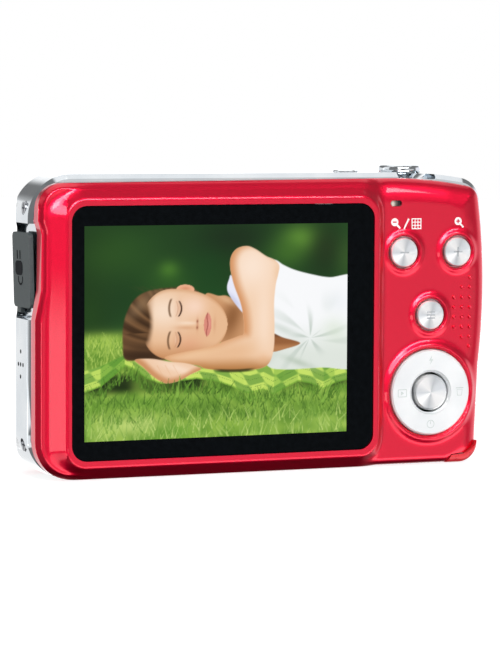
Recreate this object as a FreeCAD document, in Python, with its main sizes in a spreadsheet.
import FreeCAD, Part
import math
import os
import Sketcher

# A compact digital camera, in millimetres.  X runs to the photographer's right, Y from the screen
# towards the lens and Z up.  The camera stands on Z = 0.

Vector = FreeCAD.Vector
Rotation = FreeCAD.Rotation

document = FreeCAD.newDocument("compact_camera")
sheet = document.addObject("Spreadsheet::Sheet", "Dims")


class Size:
    """A length that carries its value and the spreadsheet formula it comes from."""

    def __init__(self, value, formula=None):
        self.value = float(value)
        self.formula = formula or f"({float(value)})"

    def __add__(self, other):
        other = as_size(other)
        return Size(self.value + other.value, f"({self.formula} + {other.formula})")

    def __sub__(self, other):
        other = as_size(other)
        return Size(self.value - other.value, f"({self.formula} - {other.formula})")

    def __mul__(self, number):
        return Size(self.value * number, f"({self.formula} * {number})")

    def __neg__(self):
        return Size(-self.value, f"(-1 * {self.formula})")

    def __rsub__(self, other):
        return as_size(other) - self

    __radd__ = __add__
    __rmul__ = __mul__


def as_size(length):
    return length if isinstance(length, Size) else Size(length)


class Dimensions:
    """Writes each named dimension to the sheet and offers it as a Size attribute."""

    def __init__(self, **lengths):
        for row, (name, length) in enumerate(lengths.items(), 1):
            sheet.set(f"A{row}", name)
            sheet.set(f"B{row}", str(length))
            sheet.setAlias(f"B{row}", name)
            setattr(self, name, Size(length, f"Dims.{name}"))
        document.recompute()


d = Dimensions(
    # Depth stations, from the screen side to the lens side
    bezel_face=-12.65,
    window_face=-12.35,
    window_back=-11.35,
    control_face=-10.9,
    control_inside=-9.45,
    rear_seam=-7.85,
    front_seam=2.65,
    front_face=9.0,
    lens_ring_face=12.65,
    # Outline shared by the two painted covers
    cover_left=-47.7,
    cover_right=46.05,
    cover_base=0.25,
    cover_top=57.7,
    left_drop=0.55,
    waist_x=46.95,
    waist_z=20.0,
    shoulder_start=28.0,
    shoulder_drop=2.1,
    side_bow=132.0,
    shoulder_bow=90.0,
    rear_round=1.2,
    front_left=-46.4,
    front_round=2.2,
    front_roll=5.5,
    # Bright band round the middle, standing out from the covers
    band_left=-48.45,
    band_proud=0.8,
    band_top=58.8,
    band_wall=2.8,
    band_chamfer=0.9,
    band_bulge=11.2,
    # Screen
    window_left=-40.96,
    window_right=21.88,
    window_base=4.05,
    window_top=52.8,
    window_corner=3.0,
    panel_left=-38.9,
    panel_right=17.4,
    panel_base=7.0,
    panel_top=49.6,
    # Buttons on the back
    button_radius=2.95,
    button_hole=3.1,
    button_dish=3.9,
    button_proud=0.45,
    wide_x=29.15,
    tele_x=40.95,
    zoom_z=42.9,
    mode_x=35.05,
    mode_z=30.3,
    pad_x=35.1,
    pad_z=14.75,
    pad_radius=8.6,
    pad_hole=8.8,
    pad_bore=4.05,
    confirm_radius=3.6,
    # Buttons on top
    shutter_x=33.4,
    shutter_radius=4.35,
    shutter_top=60.15,
    power_x=21.35,
    power_radius=2.65,
    top_button_y=0.65,
    # Rubber connector cover on the left side
    flap_back=-6.5,
    flap_front=2.0,
    flap_base=33.1,
    flap_top=47.6,
    flap_wall=0.9,
    flap_rear_x=-47.35,
    flap_front_x=-47.95,
    flap_hinge_x=-46.95,
    flap_hinge_z=32.3,
    pocket_floor=-46.3,
    # Battery door at the right-hand end of the base
    door_inside=1.6,
    door_back=-6.9,
    door_front=6.4,
    door_step=15.65,
    door_tongue_back=-5.2,
    door_tongue_front=4.4,
    door_gap=0.15,
    pin_x=9.5,
    pin_z=2.9,
    pin_radius=0.5,
    # Battery and its compartment
    battery_left=13.2,
    battery_right=43.8,
    battery_base=4.4,
    battery_top=42.8,
    battery_back=-5.4,
    battery_front=0.8,
    # Lens
    lens_x=-10.0,
    lens_z=29.0,
    lens_hole=19.0,
    housing_radius=19.5,
    outer_stage_radius=17.5,
    inner_stage_radius=16.0,
    aperture_radius=5.5,
    # Tripod bush, quarter-inch thread at its minor diameter
    bush_x=-14.0,
    bush_y=-2.0,
    bush_radius=4.4,
    thread_radius=2.55,
    thread_depth=5.5,
)


# ---------------------------------------------------------------- building blocks


def bind(thing, path, length):
    thing.setExpression(path, as_size(length).formula)


def put(thing, x, y, z):
    """Bind the position of an object."""
    for axis, length in zip("xyz", (x, y, z)):
        bind(thing, f".Placement.Base.{axis}", length)


def origin_plane(body, role):
    return next(plane for plane in body.Origin.OriginFeatures if plane.Role == role)


def new_sketch(body, name, plane, level):
    """A sketch on an origin plane of the body, carried along the axis across that plane."""
    sketch = body.newObject("Sketcher::SketchObject", name)
    sketch.AttachmentSupport = [(origin_plane(body, plane), "")]
    sketch.MapMode = "FlatFace"
    offset = -as_size(level) if plane == "XZ_Plane" else as_size(level)
    bind(sketch, ".AttachmentOffset.Base.z", offset)
    return sketch


def pin_point(sketch, geometry, end, point):
    """Hold one end of a sketch line or arc at a bound position."""
    for kind, length in zip(("DistanceX", "DistanceY"), point):
        length = as_size(length)
        index = sketch.addConstraint(
            Sketcher.Constraint(kind, -1, 1, geometry, end, length.value)
        )
        sketch.setExpression(f"Constraints[{index}]", length.formula)


def arc_between(start, end, radius):
    """Anticlockwise arc of a given radius that bulges to the right of the way from start to end."""
    middle = (start + end) * 0.5
    chord = end - start
    inward = Vector(-chord.y, chord.x, 0).normalize()
    centre = middle + inward * math.sqrt(radius**2 - (chord.Length / 2) ** 2)
    first = math.atan2(start.y - centre.y, start.x - centre.x)
    last = math.atan2(end.y - centre.y, end.x - centre.x)
    return Part.ArcOfCircle(Part.Circle(centre, Vector(0, 0, 1), radius), first, last)


def draw_outline(sketch, points, bows=None):
    """Closed anticlockwise outline; bows gives the radius of each side that bulges outwards."""
    bows = bows or {}
    corners = [Vector(as_size(a).value, as_size(b).value, 0) for a, b in points]
    count = len(points)
    for side in range(count):
        start, end = corners[side], corners[(side + 1) % count]
        if side in bows:
            sketch.addGeometry(arc_between(start, end, as_size(bows[side]).value), False)
        else:
            sketch.addGeometry(Part.LineSegment(start, end), False)
    for side in range(count):
        sketch.addConstraint(Sketcher.Constraint("Coincident", side, 2, (side + 1) % count, 1))
        pin_point(sketch, side, 1, points[side])
    for side, radius in bows.items():
        radius = as_size(radius)
        index = sketch.addConstraint(Sketcher.Constraint("Radius", side, radius.value))
        sketch.setExpression(f"Constraints[{index}]", radius.formula)


def rectangle(across, up):
    """The four corners of a rectangle, anticlockwise."""
    return [
        (across[0], up[0]),
        (across[1], up[0]),
        (across[1], up[1]),
        (across[0], up[1]),
    ]


def prism(name, plane, points, span, bows=None):
    """A body padded from one level to a higher one along the axis across the sketch plane."""
    body = document.addObject("PartDesign::Body", name)
    low, high = (as_size(level) for level in span)
    sketch = new_sketch(body, f"{name}_outline", plane, low)
    draw_outline(sketch, points, bows)
    pad = body.newObject("PartDesign::Pad", f"{name}_pad")
    pad.Profile = sketch
    pad.Reversed = plane == "XZ_Plane"
    bind(pad, "Length", high - low)
    document.recompute()
    return body


def edges_where(shape, test):
    return [f"Edge{index}" for index, edge in enumerate(shape.Edges, 1) if test(edge)]


def dress(body, kind, size_name, size, test):
    """Add a fillet or chamfer to every edge of the body that passes the test."""
    tip = body.Tip
    feature = body.newObject(f"PartDesign::{kind}", f"{body.Name}_{kind.lower()}")
    feature.Base = (tip, edges_where(tip.Shape, test))
    bind(feature, size_name, size)
    document.recompute()
    return feature


def fillet(body, radius, test):
    return dress(body, "Fillet", "Radius", radius, test)


def chamfer(body, size, test):
    return dress(body, "Chamfer", "Size", size, test)


def runs_along(edge, direction):
    ends = [vertex.Point for vertex in edge.Vertexes]
    if len(ends) < 2 or edge.Curve.TypeId != "Part::GeomLine":
        return False
    return (ends[1] - ends[0]).normalize().cross(direction).Length < 1e-6


def corner_near(first, second, reach=3.0, direction=Vector(0, 1, 0)):
    """Test for the straight edge along a direction that passes near a point of the outline."""

    def test(edge):
        if not runs_along(edge, direction):
            return False
        point = edge.Vertexes[0].Point
        if direction.y:
            return math.hypot(point.x - first, point.z - second) < reach
        return math.hypot(point.x - first, point.y - second) < reach

    return test


def all_along(direction):
    return lambda edge: runs_along(edge, direction)


def flat_at(axis, level):
    """Test for edges that lie wholly in one plane across an axis."""
    level = as_size(level).value

    def test(edge):
        bounds = edge.BoundBox
        low, high = getattr(bounds, f"{axis}Min"), getattr(bounds, f"{axis}Max")
        return abs(low - level) < 1e-3 and abs(high - level) < 1e-3

    return test


def box(name, across, along, up):
    solid = document.addObject("Part::Box", name)
    for property_name, (low, high) in zip(("Length", "Width", "Height"), (across, along, up)):
        bind(solid, property_name, as_size(high) - low)
    put(solid, across[0], along[0], up[0])
    return solid


TURN = {"X": Rotation(Vector(0, 1, 0), 90), "Y": Rotation(Vector(1, 0, 0), -90), "Z": Rotation()}


def rod(name, axis, start, radius, length):
    """A cylinder from its start point along the positive direction of an axis."""
    solid = document.addObject("Part::Cylinder", name)
    solid.Placement.Rotation = TURN[axis]
    bind(solid, "Radius", radius)
    bind(solid, "Height", length)
    put(solid, *start)
    return solid


def tube(name, axis, start, outer, inner, length):
    return cut(
        name,
        rod(f"{name}_outside", axis, start, outer, length),
        rod(f"{name}_inside", axis, start, inner, length),
    )


def taper(name, axis, start, near_radius, far_radius, length):
    """A cone whose radius changes from its start point along the positive axis."""
    solid = document.addObject("Part::Cone", name)
    solid.Placement.Rotation = TURN[axis]
    bind(solid, "Radius1", near_radius)
    bind(solid, "Radius2", far_radius)
    bind(solid, "Height", length)
    put(solid, *start)
    return solid


def torus(name, axis, centre, radius, thickness):
    solid = document.addObject("Part::Torus", name)
    solid.Placement.Rotation = TURN[axis]
    bind(solid, "Radius1", radius)
    bind(solid, "Radius2", thickness)
    put(solid, *centre)
    return solid


def ball(name, centre, radius):
    solid = document.addObject("Part::Sphere", name)
    bind(solid, "Radius", radius)
    put(solid, *centre)
    return solid


def fuse(name, *solids):
    joined = document.addObject("Part::MultiFuse", name)
    joined.Shapes = list(solids)
    joined.Refine = True
    document.recompute()
    return joined


def cut(name, base, *tools):
    result = document.addObject("Part::Cut", name)
    result.Base = base
    result.Tool = tools[0] if len(tools) == 1 else fuse(f"{name}_tools", *tools)
    result.Refine = True
    document.recompute()
    return result


def overlap(name, first, second):
    result = document.addObject("Part::Common", name)
    result.Base = first
    result.Tool = second
    result.Refine = True
    document.recompute()
    return result


SUBPARTS = []


def finish(solid, label):
    """Name a finished sub-part and keep it for export."""
    solid.Label = label
    SUBPARTS.append(solid)
    return solid


# ---------------------------------------------------------------- shells


def cover_outline(left):
    points = [
        (left, d.cover_base),
        (d.cover_right, d.cover_base),
        (d.waist_x, d.waist_z),
        (d.cover_right + 0.3, d.cover_top - d.shoulder_drop),
        (d.shoulder_start, d.cover_top),
        (left + 1.0, d.cover_top - d.left_drop),
    ]
    return points, {2: d.side_bow, 3: d.shoulder_bow}


def round_cover_corners(body, left):
    fillet(body, 7.5, corner_near(left.value, d.cover_base.value))
    fillet(body, 5.0, corner_near(left.value + 1.0, d.cover_top.value - d.left_drop.value, 1.5))
    fillet(body, 4.0, corner_near(d.cover_right.value, d.cover_base.value))
    fillet(body, 3.0, corner_near(d.cover_right.value, d.cover_top.value - d.shoulder_drop.value))


def door_tools(name, gap):
    """The space the battery door takes: its plate, its hinge tongue and its wrap-round corner."""
    plate = box(
        f"{name}_plate",
        (d.door_step - 3.6 * gap, 60),
        (d.door_back - gap, d.door_front + gap),
        (-2, d.door_inside + 0.15),
    )
    tongue = box(
        f"{name}_tongue",
        (d.pin_x, d.door_step + 1),
        (d.door_tongue_back - gap, d.door_tongue_front + gap),
        (-2, d.door_inside + 0.15),
    )
    knuckle = rod(
        f"{name}_knuckle",
        "Y",
        (d.pin_x, d.door_tongue_back, d.pin_z),
        d.pin_z - d.cover_base,
        d.door_tongue_front - d.door_tongue_back,
    )
    edge = [
        (39.3 - 1.6 * gap, -2),
        (60, -2),
        (60, 5.0 + gap),
        (46.7 - gap, 5.0 + gap),
        (45.0 - gap, 3.1 + gap),
        (43.3 - gap, 2.0 + gap),
        (40.2 - gap, 1.8 + gap),
        (39.3 - 1.6 * gap, 0.2 + gap),
    ]
    corner = prism(f"{name}_corner", "XZ_Plane", edge, (-14, d.door_front + gap))
    return fuse(f"{name}_space", plate, tongue, knuckle, corner)


def door_opening(gap):
    """The door's space with room above its plate and the groove it swings down into."""
    above = d.door_inside + 0.15 + 3 * gap
    groove = box(
        "hinge_groove",
        (d.pin_x - d.pin_z + d.cover_base - gap, d.door_step + 1),
        (d.door_tongue_back - gap, d.door_tongue_front + gap),
        (-2, above),
    )
    headroom = box(
        "plate_headroom", (d.door_step - 3.6 * gap, 60), (d.door_back - gap, d.door_front + gap), (-2, above)
    )
    return fuse("door_space", door_tools("door_opening", gap), groove, headroom)


def bezel_section(body, name, level, across, up, corner):
    """One rounded rectangle of the raised screen surround."""
    sketch = new_sketch(body, name, "XZ_Plane", level)
    left, right = (as_size(length).value for length in across)
    base, top = (as_size(length).value for length in up)
    quarter = math.pi / 2
    sides = [
        ((left + corner, base), (right - corner, base), (right - corner, base + corner), 3),
        ((right, base + corner), (right, top - corner), (right - corner, top - corner), 0),
        ((right - corner, top), (left + corner, top), (left + corner, top - corner), 1),
        ((left, top - corner), (left, base + corner), (left + corner, base + corner), 2),
    ]
    for start, end, centre, turn in sides:
        sketch.addGeometry(Part.LineSegment(Vector(*start, 0), Vector(*end, 0)), False)
        circle = Part.Circle(Vector(*centre, 0), Vector(0, 0, 1), corner)
        sketch.addGeometry(
            Part.ArcOfCircle(circle, turn * quarter, (turn + 1) * quarter), False
        )
    for side in range(8):
        sketch.addConstraint(Sketcher.Constraint("Tangent", side, 2, (side + 1) % 8, 1))
    for side, kind in ((0, "Horizontal"), (2, "Vertical"), (4, "Horizontal"), (6, "Vertical")):
        sketch.addConstraint(Sketcher.Constraint(kind, side))
    for arc in (3, 5, 7):
        sketch.addConstraint(Sketcher.Constraint("Equal", 1, arc))
    sketch.addConstraint(Sketcher.Constraint("Radius", 1, corner))
    limits = (
        ("DistanceY", 0, up[0]),
        ("DistanceX", 2, across[1]),
        ("DistanceY", 4, up[1]),
        ("DistanceX", 6, across[0]),
    )
    for kind, side, length in limits:
        length = as_size(length)
        index = sketch.addConstraint(Sketcher.Constraint(kind, -1, 1, side, 1, length.value))
        sketch.setExpression(f"Constraints[{index}]", length.formula)
    return sketch


def grip_dots():
    """Raised thumb-grip dots: three columns, the longest one nearest the edge."""
    dots = []
    for column, (x, first, last) in enumerate(((40.41, 2, 6), (42.18, 1, 7), (43.95, 0, 8))):
        for row in range(first, last):
            centre = (x, d.control_face + 0.12, 37.7 - 2.0 * row)
            dots.append(ball(f"dot_{column}_{row}", centre, 0.42))
    return dots


def back_cover(door_space):
    points, bows = cover_outline(d.cover_left)
    body = prism("back_shell", "XZ_Plane", points, (d.control_face, d.rear_seam), bows)
    round_cover_corners(body, d.cover_left)
    fillet(body, d.rear_round, flat_at("Y", d.control_face))
    foot = bezel_section(
        body, "bezel_foot", d.control_face + 0.8, (d.cover_left + 0.95, 24.9), (0.75, 56.6), 6.0
    )
    rim = bezel_section(
        body, "bezel_rim", d.bezel_face, (-41.9, 23.1), (d.window_base - 1.4, 54.2), 3.9
    )
    loft = body.newObject("PartDesign::AdditiveLoft", "bezel_loft")
    loft.Profile = foot
    loft.Sections = [rim]
    loft.Ruled = True
    document.recompute()
    fillet(body, 0.45, flat_at("Y", d.bezel_face))

    window = prism(
        "window_recess",
        "XZ_Plane",
        rectangle(
            (d.window_left - 0.1, d.window_right + 0.1), (d.window_base - 0.1, d.window_top + 0.1)
        ),
        (-15, d.window_back),
    )
    fillet(window, d.window_corner + 0.1, all_along(Vector(0, 1, 0)))
    panel = box(
        "panel_opening",
        (d.panel_left - 1.0, d.panel_right + 1.0),
        (-12, d.rear_seam + 1),
        (d.panel_base - 1.0, d.panel_top + 1.0),
    )
    hollow = prism(
        "back_hollow",
        "XZ_Plane",
        [
            (d.cover_left + 2.0, 1.9),
            (44.4, 1.9),
            (45.6, 14),
            (46.4, 34),
            (46.1, 44),
            (44.9, 53.4),
            (28.0, 55.9),
            (d.cover_left + 2.6, 55.7),
        ],
        (d.control_inside, d.rear_seam + 1),
    )
    fillet(hollow, 5.5, corner_near(d.cover_left.value + 2.0, 1.9))
    notch = prism(
        "cover_notch",
        "XZ_Plane",
        [(-60, 31), (-47.65, 31), (-46.6, 36.8), (-46.45, 47), (-47.2, 49.9), (-60, 49.9)],
        (-15, d.rear_seam + 1),
    )

    lips = [
        torus("pad_lip", "Y", (d.pad_x, d.control_face + 0.15, d.pad_z), 9.65, 0.8),
        torus("wide_lip", "Y", (d.wide_x, d.control_face + 0.25, d.zoom_z), 4.0, 0.5),
        torus("tele_lip", "Y", (d.tele_x, d.control_face + 0.25, d.zoom_z), 4.0, 0.5),
        torus("mode_lip", "Y", (d.mode_x, d.control_face + 0.25, d.mode_z), 4.0, 0.5),
    ]
    openings = [rod("pad_opening", "Y", (d.pad_x, -14, d.pad_z), d.pad_hole, 10)]
    for name, x, z in (
        ("wide", d.wide_x, d.zoom_z),
        ("tele", d.tele_x, d.zoom_z),
        ("mode", d.mode_x, d.mode_z),
    ):
        openings.append(rod(f"{name}_opening", "Y", (x, -14, z), d.button_hole, 10))
        openings.append(
            taper(
                f"{name}_dish",
                "Y",
                (x, d.control_face - 0.3, z),
                d.button_dish,
                d.button_hole,
                0.8,
            )
        )
    lamp = prism(
        "lamp_slot", "XZ_Plane", rectangle((26.2, 28.7), (52.1, 53.3)), (-14, d.rear_seam)
    )
    fillet(lamp, 0.59, all_along(Vector(0, 1, 0)))

    raised = fuse("back_raised", body, *lips, *grip_dots())
    finish(
        cut("back_cover", raised, window, panel, hollow, notch, lamp, *openings, door_space),
        "back_cover",
    )


def middle_frame(door_space):
    outline = [
        (d.band_left, 0),
        (d.cover_right + d.band_proud, 0),
        (d.waist_x + d.band_proud, d.waist_z),
        (d.cover_right + 0.3 + d.band_proud, d.band_top - 1.9),
        (d.shoulder_start, d.band_top),
        (d.band_left + 0.5, d.band_top),
    ]
    bows = {2: d.side_bow, 3: d.shoulder_bow}
    body = prism("band", "XZ_Plane", outline, (d.rear_seam, d.front_seam), bows)
    fillet(body, 9.0, corner_near(d.band_left.value, 0))
    fillet(body, 8.5, corner_near(d.band_left.value, d.band_top.value))
    fillet(body, 4.8, corner_near(d.cover_right.value, 0))
    fillet(body, 5.0, corner_near(d.cover_right.value, d.band_top.value - 1.9))
    chamfer(body, d.band_chamfer, flat_at("Y", d.rear_seam))
    bulge = prism(
        "band_bulge",
        "XY_Plane",
        [
            (-47.3, d.rear_seam - 1),
            (60, d.rear_seam - 1),
            (60, d.front_seam + 1),
            (-46.3, d.front_seam + 1),
        ],
        (-5, 65),
        {3: d.band_bulge},
    )
    body = overlap("band_bulged", body, bulge)

    hollow = prism(
        "band_hollow",
        "XZ_Plane",
        [
            (d.band_left + d.band_wall, 1.8),
            (44.6, 1.8),
            (45.9, 3.4),
            (46.4, 14),
            (46.9, 34),
            (46.6, 44),
            (45.2, 54.2),
            (38.5, d.band_top - d.band_wall),
            (d.band_left + d.band_wall, d.band_top - d.band_wall),
        ],
        (d.rear_seam - 1, d.front_seam + 1),
    )
    fillet(hollow, 6.5, corner_near(d.band_left.value + d.band_wall.value, 1.8))
    fillet(hollow, 4.0, corner_near(d.band_left.value + d.band_wall.value, 56.0))

    pocket = prism(
        "flap_pocket",
        "YZ_Plane",
        rectangle((d.rear_seam - 4, d.flap_front + 0.3), (31.0, 49.4)),
        (-60, d.pocket_floor),
    )
    fillet(pocket, 1.8, all_along(Vector(1, 0, 0)))
    port_mouth = box("port_mouth", (-50, -40), (-3.1, 0.3), (36.2, 44.4))
    scoop = taper("scoop", "Z", (d.shutter_x, d.top_button_y, 57.4), 4.2, 7.2, 2.2)
    runway = box(
        "scoop_runway", (d.shutter_x - 4.2, d.shutter_x + 4.2), (-9, d.top_button_y), (57.4, 61)
    )
    shutter_hole = rod("shutter_hole", "Z", (d.shutter_x, d.top_button_y, 50), 2.75, 10)
    power_hole = rod(
        "power_hole", "Z", (d.power_x, d.top_button_y, 50), d.power_radius + 0.12, 12
    )
    bush_hole = rod("bush_hole", "Z", (d.bush_x, d.bush_y, -1), d.bush_radius + 0.02, 5)
    strap_recess = box("strap_recess", (45.6, 60), (-3.6, -0.4), (38.5, 46.5))
    strap_hole = rod("strap_hole", "Z", (48.0, -2.0, 36.6), 0.72, 11.8)

    sound_holes = []
    for index, (y, z) in enumerate(((0, 0), (0, 2.5), (0, -2.35), (1.4, 0), (-1.5, 0))):
        place = (-52, y + SPEAKER[0], z + SPEAKER[1])
        sound_holes.append(rod(f"sound_hole_{index}", "X", place, 0.42, 8))
    screw_seats = []
    for name, (y, z) in SIDE_SCREWS.items():
        screw_seats.append(rod(f"{name}_seat", "X", (-52, y, z), 1.3, 4.9))
        screw_seats.append(rod(f"{name}_clearance", "X", (-52, y, z), 0.62, 8))
    for name, (x, y) in BASE_SCREWS.items():
        screw_seats.append(rod(f"{name}_seat", "Z", (x, y, -1), 1.5, 1.9))
        screw_seats.append(rod(f"{name}_clearance", "Z", (x, y, -1), 0.72, 4))

    finish(
        cut(
            "middle_frame",
            body,
            hollow,
            pocket,
            port_mouth,
            scoop,
            runway,
            shutter_hole,
            power_hole,
            bush_hole,
            strap_recess,
            strap_hole,
            *sound_holes,
            *screw_seats,
            door_space,
        ),
        "middle_frame",
    )


def rolled_edge(name, left, front, roll):
    """A block whose front edge on the left is rolled over with a large radius."""
    block = prism(name, "XY_Plane", rectangle((left, 60), (0, front)), (-5, 65))
    fillet(block, roll, corner_near(left.value, front.value, 1.0, Vector(0, 0, 1)))
    return block


def front_cover(door_space):
    points, bows = cover_outline(d.front_left)
    body = prism("front_shell", "XZ_Plane", points, (d.front_seam, d.front_face), bows)
    round_cover_corners(body, d.front_left)
    fillet(body, d.front_round, flat_at("Y", d.front_face))
    outer_roll = rolled_edge("front_roll", d.front_left, d.front_face, d.front_roll)
    body = overlap("front_rolled", body, outer_roll)
    hollow = prism(
        "front_hollow",
        "XZ_Plane",
        [
            (d.front_left + 1.5, 1.9),
            (43.6, 1.9),
            (45.1, 3.4),
            (45.6, 14),
            (46.0, 34),
            (45.8, 44),
            (44.6, 53.8),
            (38.5, 56.05),
            (15.0, 56.05),
            (d.front_left + 2.4, 55.7),
        ],
        (d.front_seam - 1, d.front_face - 1.5),
    )
    fillet(hollow, 5.0, corner_near(d.front_left.value + 1.5, 1.9))
    inner_roll = rolled_edge(
        "hollow_roll", d.front_left + 1.5, d.front_face - 1.5, d.front_roll - 1.3
    )
    hollow = overlap("front_space", hollow, inner_roll)
    lens_hole = rod("lens_hole", "Y", (d.lens_x, 0, d.lens_z), d.lens_hole, 12)
    flash_hole = box("flash_hole", (15.9, 28.1), (5, 12), (47.4, 53.6))
    lamp_hole = rod("timer_lamp_hole", "Y", (35.0, 5, 50.5), 1.85, 6)
    sound_holes = [
        rod(f"microphone_hole_{side}", "Y", (-38.0 + side, 5, 51.0), 0.4, 6) for side in (-1, 1)
    ]
    shutter_notch = rod("shutter_notch", "Z", (d.shutter_x, d.top_button_y, 50), 2.75, 10)
    power_notch = rod(
        "power_notch", "Z", (d.power_x, d.top_button_y, 50), d.power_radius + 0.12, 10
    )
    finish(
        cut(
            "front_cover",
            body,
            hollow,
            lens_hole,
            flash_hole,
            lamp_hole,
            shutter_notch,
            power_notch,
            *sound_holes,
            door_space,
        ),
        "front_cover",
    )


# ---------------------------------------------------------------- screen


def screen():
    window = prism(
        "display_window",
        "XZ_Plane",
        rectangle((d.window_left, d.window_right), (d.window_base, d.window_top)),
        (d.window_face, d.window_back),
    )
    fillet(window, d.window_corner, all_along(Vector(0, 1, 0)))
    finish(window, "display_window")

    panel_span = (d.window_back + 0.02, d.window_back + 1.4)
    finish(
        box(
            "lcd_panel",
            (d.panel_left, d.panel_right),
            panel_span,
            (d.panel_base, d.panel_top),
        ),
        "lcd_panel",
    )
    tray = box(
        "tray_block",
        (d.panel_left - 0.6, d.panel_right + 0.6),
        (d.window_back + 0.02, -8.3),
        (d.panel_base - 0.6, d.panel_top + 0.6),
    )
    seat = box(
        "tray_seat",
        (d.panel_left - 0.03, d.panel_right + 0.03),
        (-13, d.window_back + 1.42),
        (d.panel_base - 0.03, d.panel_top + 0.03),
    )
    finish(cut("lcd_tray", tray, seat), "lcd_tray")


# ---------------------------------------------------------------- controls


def cap_symbol(name, x, z, bars):
    """Shallow engraved bars on a button cap, each given as centre offsets and half sizes."""
    face = d.control_face - d.button_proud
    return [
        box(
            f"{name}_{index}",
            (x + cx - half_x, x + cx + half_x),
            (face - 1, face + 0.06),
            (z + cz - half_z, z + cz + half_z),
        )
        for index, (cx, cz, half_x, half_z) in enumerate(bars)
    ]


def back_button(label, x, z, bars):
    """A round cap with a softened edge and a flange that keeps it behind the cover."""
    face = d.control_face - d.button_proud
    blank = fuse(
        f"{label}_blank",
        rod(f"{label}_stem", "Y", (x, face + 0.25, z), d.button_radius, 2.05),
        taper(
            f"{label}_edge", "Y", (x, face, z), d.button_radius - 0.2, d.button_radius, 0.25
        ),
        rod(f"{label}_flange", "Y", (x, d.control_inside + 0.05, z), d.button_radius + 0.7, 0.5),
    )
    finish(cut(f"{label}_cap", blank, *cap_symbol(f"{label}_mark", x, z, bars)), label)


def navigation_pad():
    face = d.control_face - 0.65
    place = (d.pad_x, face, d.pad_z)
    ring_body = fuse(
        "pad_blank",
        taper("pad_edge", "Y", place, d.pad_radius - 0.3, d.pad_radius, 0.3),
        rod("pad_disc", "Y", (d.pad_x, face + 0.3, d.pad_z), d.pad_radius, 2.4),
        rod("pad_flange", "Y", (d.pad_x, -8.95, d.pad_z), d.pad_radius + 0.7, 0.4),
    )
    bore = fuse(
        "pad_bore_tools",
        rod("pad_bore_hole", "Y", (d.pad_x, -14, d.pad_z), d.pad_bore, 8),
        taper(
            "pad_bore_bevel",
            "Y",
            (d.pad_x, face - 0.1, d.pad_z),
            d.pad_bore + 0.6,
            d.pad_bore,
            0.6,
        ),
    )
    hollow = rod("pad_hollow", "Y", (d.pad_x, -9.6, d.pad_z), 6.4, 3)
    finish(cut("pad_ring", ring_body, bore, hollow), "navigation_ring")
    finish(
        tube("pad_actuator", "Y", (d.pad_x, -8.2, d.pad_z), 5.1, 3.9, 0.35),
        "navigation_actuator",
    )
    confirm = fuse(
        "confirm_blank",
        taper(
            "confirm_edge",
            "Y",
            (d.pad_x, face - 0.1, d.pad_z),
            d.confirm_radius - 0.35,
            d.confirm_radius,
            0.3,
        ),
        rod("confirm_disc", "Y", (d.pad_x, face + 0.2, d.pad_z), d.confirm_radius, 3.25),
    )
    finish(confirm, "ok_button")


def back_electronics():
    lens = prism(
        "lamp_lens", "XZ_Plane", rectangle((26.25, 28.65), (52.15, 53.25)), (-10.4, -8.0)
    )
    fillet(lens, 0.54, all_along(Vector(0, 1, 0)))
    finish(lens, "status_led_lens")
    finish(box("key_board", (25.6, 45.0), (-7.45, -6.65), (4.2, 53.6)), "key_board")
    spots = [
        (d.wide_x, d.zoom_z, 1.1),
        (d.tele_x, d.zoom_z, 1.1),
        (d.mode_x, d.mode_z, 1.1),
        (d.pad_x, d.pad_z, 0.35),
    ]
    for across, up in ((6.6, 0), (-6.6, 0), (0, 6.6), (0, -6.6)):
        spots.append((d.pad_x + across, d.pad_z + up, 0.75))
    domes = [
        rod(f"switch_{index}", "Y", (x, -7.45 - height, z), 1.3, height)
        for index, (x, z, height) in enumerate(spots)
    ]
    finish(fuse("tactile_switches", *domes), "tactile_switches")


def top_controls():
    axis = (d.shutter_x, d.top_button_y)
    disc = rod("shutter_disc", "Z", (*axis, d.shutter_top - 1.1), d.shutter_radius, 0.7)
    crown = taper(
        "shutter_crown",
        "Z",
        (*axis, d.shutter_top - 0.4),
        d.shutter_radius,
        d.shutter_radius - 0.7,
        0.4,
    )
    skirt = taper("shutter_skirt", "Z", (*axis, d.shutter_top - 2.0), 2.6, 3.5, 0.95)
    stem = rod("shutter_stem", "Z", (*axis, 55.3), 2.6, 4.0)
    flange = rod("shutter_flange", "Z", (*axis, 55.3), 3.4, 0.6)
    finish(fuse("shutter_button", disc, crown, skirt, stem, flange), "shutter_button")

    place = (d.power_x, d.top_button_y)
    power = fuse(
        "power_button",
        rod("power_stem", "Z", (*place, 55.3), d.power_radius, 3.6),
        taper("power_crown", "Z", (*place, 58.9), d.power_radius, d.power_radius - 0.25, 0.2),
        rod("power_flange", "Z", (*place, 55.3), d.power_radius + 0.7, 0.6),
    )
    finish(power, "power_button")
    finish(box("top_board", (15.0, 42.0), (-5.4, 2.4), (51.6, 52.4)), "top_board")
    finish(
        fuse(
            "top_switches",
            box("shutter_switch", (31.6, 36.6), (-1.85, 2.2), (52.4, 54.4)),
            box("power_switch", (19.2, 23.5), (-1.5, 2.2), (52.4, 54.9)),
        ),
        "top_switches",
    )


# ---------------------------------------------------------------- left side

SPEAKER = (-3.1, 22.15)
FLAP_AJAR = 1.5
SIDE_SCREWS = {"upper_screw": (-4.0, 52.3), "lower_screw": (-4.0, 6.65)}
BASE_SCREWS = {"left_base_screw": (-36.0, -3.0), "right_base_screw": (4.0, -3.0)}


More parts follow.
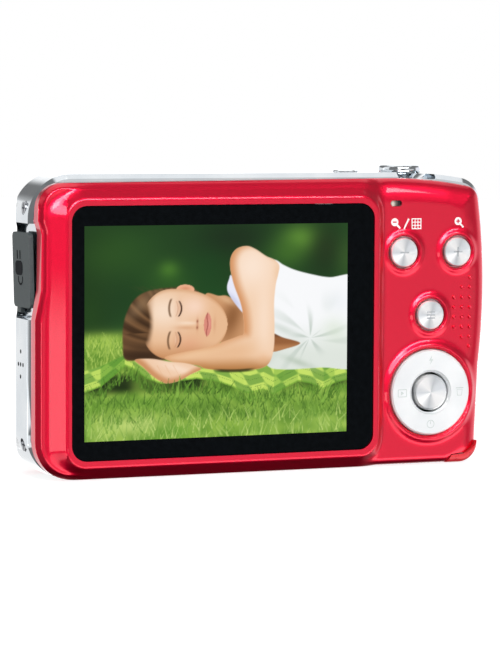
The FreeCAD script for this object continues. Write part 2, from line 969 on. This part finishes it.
def usb_cover():
    """Slanted rubber cover, modelled flush and then swung a little open about its tether."""
    plate = prism(
        "flap_plate",
        "XY_Plane",
        [
            (d.flap_rear_x, d.flap_back),
            (d.flap_rear_x + d.flap_wall, d.flap_back),
            (d.flap_front_x + d.flap_wall, d.flap_front),
            (d.flap_front_x, d.flap_front),
        ],
        (d.flap_base, d.flap_top),
    )
    fillet(plate, 1.0, all_along(Vector(1, 0, 0)))
    plug = box("flap_plug", (-47.0, -46.55), (-2.45, -0.35), (36.95, 43.65))
    knuckle = rod("flap_knuckle", "Y", (d.flap_hinge_x, -0.4, d.flap_hinge_z), 0.42, 2.2)
    tether = box(
        "flap_tether",
        (d.flap_hinge_x - 0.4, d.flap_hinge_x + 0.05),
        (-0.4, 1.8),
        (d.flap_hinge_z, d.flap_base + 0.5),
    )
    cover = fuse("flap_solid", plate, plug, knuckle, tether)
    angle = math.radians(FLAP_AJAR)
    cover.Placement.Rotation = Rotation(Vector(0, -1, 0), FLAP_AJAR)
    swing_x = -d.flap_hinge_z * math.sin(angle) + d.flap_hinge_x * math.cos(angle)
    swing_z = d.flap_hinge_z * math.cos(angle) + d.flap_hinge_x * math.sin(angle)
    put(cover, d.flap_hinge_x - swing_x, 0, d.flap_hinge_z - swing_z)
    finish(cover, "usb_cover")


def left_side():
    port_block = box("port_block", (d.pocket_floor - 0.2, -41.6), (-3.0, 0.2), (36.3, 44.3))
    port_mouth = box("port_inside", (-50, -42.0), (-2.6, -0.2), (36.7, 43.9))
    tongue = box("port_tongue", (-46.2, -42.0), (-1.7, -1.1), (37.6, 43.0))
    finish(fuse("usb_port", cut("port_shell", port_block, port_mouth), tongue), "usb_port")
    finish(
        fuse(
            "speaker",
            rod("speaker_frame", "X", (-45.6, *SPEAKER), 4.5, 2.0),
            rod("speaker_magnet", "X", (-43.6, *SPEAKER), 2.2, 1.6),
        ),
        "speaker",
    )
    screws = []
    for name, (y, z) in SIDE_SCREWS.items():
        head = rod(f"{name}_head", "X", (-47.95, y, z), 1.2, 0.85)
        slot = box(f"{name}_slot", (-48.5, -47.6), (y - 0.16, y + 0.16), (z - 0.9, z + 0.9))
        cross = box(f"{name}_cross", (-48.5, -47.6), (y - 0.9, y + 0.9), (z - 0.16, z + 0.16))
        shank = rod(f"{name}_shank", "X", (-47.1, y, z), 0.55, 4.0)
        screws.append(cut(f"{name}_solid", fuse(f"{name}_blank", head, shank), slot, cross))
    finish(fuse("side_screws", *screws), "side_screws")


def base_fittings():
    screws = []
    for name, (x, y) in BASE_SCREWS.items():
        head = rod(f"{name}_head", "Z", (x, y, 0.15), 1.4, 0.75)
        slot = box(f"{name}_slot", (x - 0.18, x + 0.18), (y - 1.0, y + 1.0), (0, 0.5))
        cross = box(f"{name}_cross", (x - 1.0, x + 1.0), (y - 0.18, y + 0.18), (0, 0.5))
        shank = rod(f"{name}_shank", "Z", (x, y, 0.9), 0.65, 4.2)
        screws.append(cut(f"{name}_solid", fuse(f"{name}_blank", head, shank), slot, cross))
    finish(fuse("base_screws", *screws), "base_screws")

    bush = fuse(
        "bush_blank",
        rod("bush_barrel", "Z", (d.bush_x, d.bush_y, 0.05), d.bush_radius, 6.6),
        box(
            "bush_flange",
            (d.bush_x - 7.0, d.bush_x + 7.0),
            (d.bush_y - d.bush_radius, d.bush_y + d.bush_radius),
            (1.82, 2.8),
        ),
    )
    thread = rod("bush_thread", "Z", (d.bush_x, d.bush_y, -1), d.thread_radius, d.thread_depth + 1.05)
    finish(cut("tripod_bush", bush, thread), "tripod_bush")
    finish(rod("strap_bar", "Z", (48.0, -2.0, 36.8), 0.7, 11.4), "strap_bar")


# ---------------------------------------------------------------- battery door and compartment


def battery_door():
    points, bows = cover_outline(d.cover_left)
    envelope = prism("door_envelope", "XZ_Plane", points, (d.control_face, d.door_front), bows)
    round_cover_corners(envelope, d.cover_left)
    fillet(envelope, d.rear_round, flat_at("Y", d.control_face))
    inside = box(
        "door_hollow", (5, 45.6), (d.control_face + 1.3, d.door_front + 1), (d.door_inside, 9)
    )
    skin = cut("door_skin", overlap("door_common", envelope, door_tools("door_shape", 0)), inside)

    length = d.door_tongue_front - d.door_tongue_back
    sector = overlap(
        "door_sector",
        rod(
            "door_barrel",
            "Y",
            (d.pin_x, d.door_tongue_back, d.pin_z),
            d.pin_z - d.cover_base,
            length,
        ),
        box(
            "door_quarter",
            (0, d.pin_x + 0.5),
            (d.door_tongue_back, d.door_tongue_front),
            (-1, d.door_inside),
        ),
    )
    lugs = []
    for index, y in enumerate((d.door_tongue_back, d.door_tongue_front - 1.6)):
        lugs.append(rod(f"door_lug_{index}", "Y", (d.pin_x, y, d.pin_z), 1.05, 1.6))
        lugs.append(
            box(
                f"door_lug_foot_{index}",
                (d.pin_x - 1.0, d.pin_x + 1.0),
                (y, y + 1.6),
                (d.door_inside - 0.3, d.pin_z),
            )
        )
    pin_hole = rod("door_pin_hole", "Y", (d.pin_x, -8, d.pin_z), d.pin_radius + 0.05, 16)
    finish(cut("battery_door", fuse("door_blank", skin, sector, *lugs), pin_hole), "battery_door")
    finish(
        rod("door_hinge_pin", "Y", (d.pin_x, -6.15, d.pin_z), d.pin_radius, 11.5),
        "door_hinge_pin",
    )


def battery_compartment():
    outer = box(
        "compartment_block",
        (d.battery_left - 1.0, d.battery_right + 1.0),
        (d.battery_back - 0.8, 5.4),
        (3.6, d.battery_top + 2.0),
    )
    battery_room = box(
        "battery_room",
        (d.battery_left - 0.2, d.battery_right + 0.2),
        (d.battery_back - 0.15, d.battery_front + 0.15),
        (0, d.battery_top + 1.2),
    )
    card_room = box("card_room", (15.9, 41.1), (1.75, 4.75), (0, 36.0))
    ears = [
        box(f"ear_{index}", (8.3, 13.0), (y, y + 0.7), (1.95, 5.0))
        for index, y in enumerate((-6.2, 4.7))
    ]
    slots = [
        box(
            f"ear_slot_{index}",
            (d.pin_x - 0.6, d.pin_x + 3.1),
            (y - 0.2, y + 0.9),
            (d.pin_z - 0.55, d.pin_z + 0.55),
        )
        for index, y in enumerate((-6.2, 4.7))
    ]
    lug_room = box(
        "lug_room",
        (d.battery_left - 1.2, d.battery_left),
        (d.door_tongue_back - 0.2, d.door_tongue_front + 0.2),
        (3, 4.15),
    )
    finish(
        cut(
            "battery_box",
            fuse("compartment_blank", outer, *ears),
            battery_room,
            card_room,
            lug_room,
            *slots,
        ),
        "battery_box",
    )
    cell = prism(
        "battery",
        "XY_Plane",
        rectangle((d.battery_left, d.battery_right), (d.battery_back, d.battery_front)),
        (d.battery_base, d.battery_top),
    )
    fillet(cell, 1.6, all_along(Vector(0, 0, 1)))
    finish(cell, "battery")
    contacts = [
        box(
            f"contact_{index}",
            (18.0 + 3.2 * index, 19.6 + 3.2 * index),
            (-4.4, -0.6),
            (d.battery_top + 0.05, d.battery_top + 1.2),
        )
        for index in range(3)
    ]
    finish(fuse("battery_contacts", *contacts), "battery_contacts")
    finish(
        fuse(
            "battery_catch",
            box("catch_plate", (42.6, 44.3), (-4.4, -1.0), (2.85, 3.6)),
            box("catch_tab", (43.5, 44.3), (-3.4, -2.0), (2.0, 2.85)),
        ),
        "battery_catch",
    )
    cage = cut(
        "card_slot",
        box("card_cage", (16.0, 41.0), (1.8, 4.7), (4.0, 35.9)),
        box("card_mouth", (16.4, 40.6), (2.15, 4.35), (3.0, 35.4)),
    )
    finish(cage, "card_slot")


# ---------------------------------------------------------------- boards, lens and flash


def boards():
    finish(box("main_board", (-43.0, 11.0), (-7.85, -7.05), (5.0, 53.0)), "main_board")
    chips = [
        box("processor", (-16.0, -4.0), (-7.05, -6.05), (38.0, 50.0)),
        box("memory", (0.0, 9.0), (-7.05, -6.15), (40.0, 49.0)),
        box("power_chip", (-38.0, -31.0), (-7.05, -6.15), (10.0, 17.0)),
    ]
    finish(fuse("processor_chips", *chips), "processor_chips")
    plate = box("plate_blank", (-43.0, 11.0), (-6.0, -5.4), (7.0, 55.4))
    opening = box("plate_opening", (-20.0, 0.0), (-7, -5), (20.0, 38.0))
    finish(cut("chassis_plate", plate, opening), "chassis_plate")
    finish(box("sensor_board", (-19.0, -1.0), (-6.0, -5.42), (21.0, 37.0)), "sensor_board")
    finish(box("image_sensor", (-14.5, -5.5), (-5.42, -4.2), (25.5, 32.5)), "image_sensor")


def lens():
    axis = (d.lens_x, d.lens_z)

    def at(y):
        return (axis[0], y, axis[1])

    wall = tube(
        "housing_wall", "Y", at(-5.4), d.housing_radius, d.outer_stage_radius + 0.2, 9.0
    )
    floor = tube("housing_floor", "Y", at(-5.4), d.outer_stage_radius + 0.5, 7.5, 1.2)
    throat = tube("housing_throat", "Y", at(-4.2), 8.6, 7.5, 2.4)
    collar = tube("housing_collar", "Y", at(3.6), 18.9, d.outer_stage_radius + 0.2, 5.4)
    finish(fuse("lens_housing", wall, floor, throat, collar), "lens_housing")
    rear_glass = overlap(
        "rear_glass",
        rod("rear_disc", "Y", at(-3.2), 7.48, 1.8),
        ball("rear_dome", at(9.0), 12.2),
    )
    finish(rear_glass, "rear_lens")

    ring = fuse(
        "ring_blank",
        rod("ring_base", "Y", at(d.front_face), 22.0, 2.0),
        taper("ring_slope", "Y", at(d.front_face + 2.0), 22.0, 20.0, 1.65),
    )
    finish(
        cut("lens_ring", ring, rod("ring_bore", "Y", at(5), d.outer_stage_radius + 0.25, 10)),
        "lens_ring",
    )

    outer = fuse(
        "outer_stage_blank",
        tube("outer_wall", "Y", at(-1.6), d.outer_stage_radius, d.inner_stage_radius + 0.2, 13.8),
        tube("outer_foot", "Y", at(-1.6), d.outer_stage_radius, 14.6, 0.8),
    )
    finish(outer, "lens_stage_outer")
    front_plate = tube(
        "inner_front", "Y", at(11.45), d.inner_stage_radius, d.aperture_radius, 0.85
    )
    inner_wall = tube(
        "inner_wall", "Y", at(-0.7), d.inner_stage_radius, d.inner_stage_radius - 1.0, 13.0
    )
    carrier = tube("lens_carrier", "Y", at(6.6), d.inner_stage_radius - 0.6, 8.0, 1.2)
    cell = tube("lens_cell", "Y", at(5.6), 9.0, 8.0, 3.4)
    pivots = [
        rod(f"blade_pivot_{index}", "Y", (d.lens_x - 10.8, 7.6, d.lens_z + side), 0.5, 4.0)
        for index, side in enumerate((-1.2, 1.2))
    ]
    finish(
        fuse("lens_stage_inner", front_plate, inner_wall, carrier, cell, *pivots),
        "lens_stage_inner",
    )
    front_glass = overlap(
        "front_glass",
        rod("front_disc", "Y", at(5.8), 7.98, 3.0),
        ball("front_dome", at(-8.2), 16.6),
    )
    finish(front_glass, "front_lens")
    for label, side in (("lens_blade_upper", 1), ("lens_blade_lower", -1)):
        finish(shutter_blade(label, side), label)


def shutter_blade(label, side):
    """Half-round leaf with an arm that reaches its pivot beside the lens opening."""
    level = 10.6
    depth = 0.5
    half_gap = 0.05
    leaf = rod(f"{label}_leaf", "Y", (d.lens_x, level, d.lens_z), 6.4, depth)
    arm = box(
        f"{label}_arm",
        (d.lens_x - 10.8, d.lens_x),
        (level, level + depth),
        (d.lens_z - 2.2, d.lens_z + 2.2),
    )
    boss = rod(f"{label}_boss", "Y", (d.lens_x - 10.8, level, d.lens_z + 1.2 * side), 1.1, depth)
    if side > 0:
        keep = (d.lens_z + half_gap, d.lens_z + 9)
    else:
        keep = (d.lens_z - 9, d.lens_z - half_gap)
    half = box(f"{label}_half", (d.lens_x - 14, d.lens_x + 9), (level, level + depth), keep)
    blank = overlap(f"{label}_blank", fuse(f"{label}_plan", leaf, arm, boss), half)
    eye = rod(
        f"{label}_eye", "Y", (d.lens_x - 10.8, level - 1, d.lens_z + 1.2 * side), 0.56, 2.5
    )
    return cut(f"{label}_solid", blank, eye)


def flash():
    pane = prism(
        "flash_window", "XZ_Plane", rectangle((16.0, 28.0), (47.5, 53.5)), (7.3, d.front_face)
    )
    fillet(pane, 0.6, flat_at("Y", d.front_face))
    finish(pane, "flash_window")
    trough = cut(
        "flash_reflector",
        box("reflector_block", (16.4, 27.6), (3.0, 7.2), (47.8, 53.2)),
        rod("reflector_curve", "X", (16.9, 6.9, 50.5), 2.4, 10.2),
        box("reflector_mouth", (16.9, 27.1), (6.6, 8), (48.1, 52.9)),
    )
    finish(trough, "flash_reflector")
    finish(rod("flash_tube", "X", (16.9, 5.9, 50.5), 0.95, 10.2), "flash_tube")
    finish(rod("flash_capacitor", "Z", (-36.0, 2.6, 9.0), 4.2, 28.0), "flash_capacitor")
    finish(rod("self_timer_lamp", "Y", (35.0, 6.6, 50.5), 1.8, 2.3), "self_timer_lamp")
    finish(rod("microphone", "Y", (-38.0, 5.0, 51.0), 2.4, 2.5), "microphone")


door_space = door_opening(d.door_gap)
back_cover(door_space)
middle_frame(door_space)
front_cover(door_space)
screen()
back_button("zoom_wide_button", d.wide_x, d.zoom_z, [(0, 0, 1.0, 0.16)])
back_button("zoom_tele_button", d.tele_x, d.zoom_z, [(0, 0, 1.0, 0.16), (0, 0, 0.16, 1.0)])
back_button(
    "mode_button", d.mode_x, d.mode_z, [(0, 0.75, 1.0, 0.13), (0, 0, 1.0, 0.13), (0, -0.75, 1.0, 0.13)]
)
navigation_pad()
back_electronics()
top_controls()
usb_cover()
left_side()
base_fittings()
battery_door()
battery_compartment()
boards()
lens()
flash()
document.recompute()

for thing in document.Objects:
    if "Invalid" in thing.State or "Error" in thing.State:
        raise RuntimeError(f"{thing.Name} did not compute: {thing.State}")

os.makedirs("parts", exist_ok=True)
for subpart in SUBPARTS:
    shape = subpart.Shape
    if shape.isNull() or not shape.isValid() or not shape.Solids:
        raise RuntimeError(f"{subpart.Label} has no sound solid")
    shape.exportStep(f"parts/{subpart.Label}.step")
